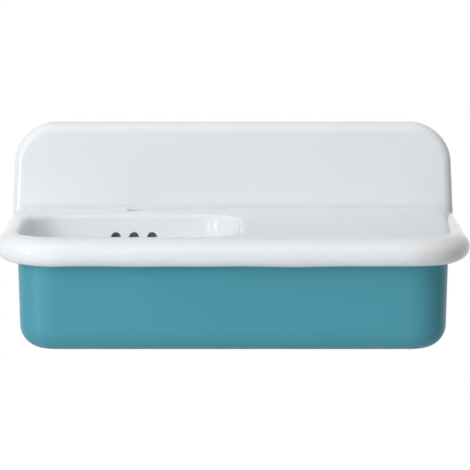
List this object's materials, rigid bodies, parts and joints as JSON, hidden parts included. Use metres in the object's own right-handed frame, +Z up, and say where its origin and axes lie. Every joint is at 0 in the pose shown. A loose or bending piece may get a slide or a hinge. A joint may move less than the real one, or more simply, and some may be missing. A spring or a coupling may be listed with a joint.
{
  "type": "wall-hung washbasin",
  "caption": "Wall-hung ceramic trough basin with a rolled rim, a bowl at one end, a flat shelf, a high splashback and a coloured apron, with a push-open waste and wall bolts.",
  "frame": {"origin": "on the wall plane behind the basin, in the middle of its width, level with the deck", "axes": "+Z up, +Y into the wall, +X to the right seen from the front"},
  "size_m": [0.85, 0.55, 0.385],
  "materials": {
    "white_glaze": "glossy white glaze",
    "teal_glaze": "glossy blue-green glaze",
    "bare_ceramic": "unglazed",
    "chrome": "polished",
    "brass": "machined",
    "spring_steel": "drawn",
    "zinc_steel": "zinc plated",
    "rubber": "matt",
    "nylon": "matt"
  },
  "bodies": {
    "basin": {"basin_top": "white_glaze", "apron": "teal_glaze", "overflow_channel": "bare_ceramic", "waste_body": "chrome", "flange_gasket": "rubber", "cone_washer": "rubber", "slip_washer": "nylon", "waste_backnut": "brass", "click_housing": "brass", "click_spring": "spring_steel", "click_circlip": "spring_steel", "hanger_bolts": "zinc_steel", "bolt_sleeves": "nylon", "bolt_washers": "zinc_steel", "bolt_nuts": "zinc_steel"},
    "plug": {"plug_cap": "chrome", "plug_seal": "rubber", "plug_lock_nut": "brass", "click_pin": "brass"}
  },
  "joints": [
    {"name": "plug_slide", "type": "slide", "parent": "basin", "child": "plug", "axis": [0, 0, 1], "range_m": [-0.009, 0], "stiffness_N_per_m": 400, "springref_m": 0.012, "deforming": ["click_spring"]}
  ]
}
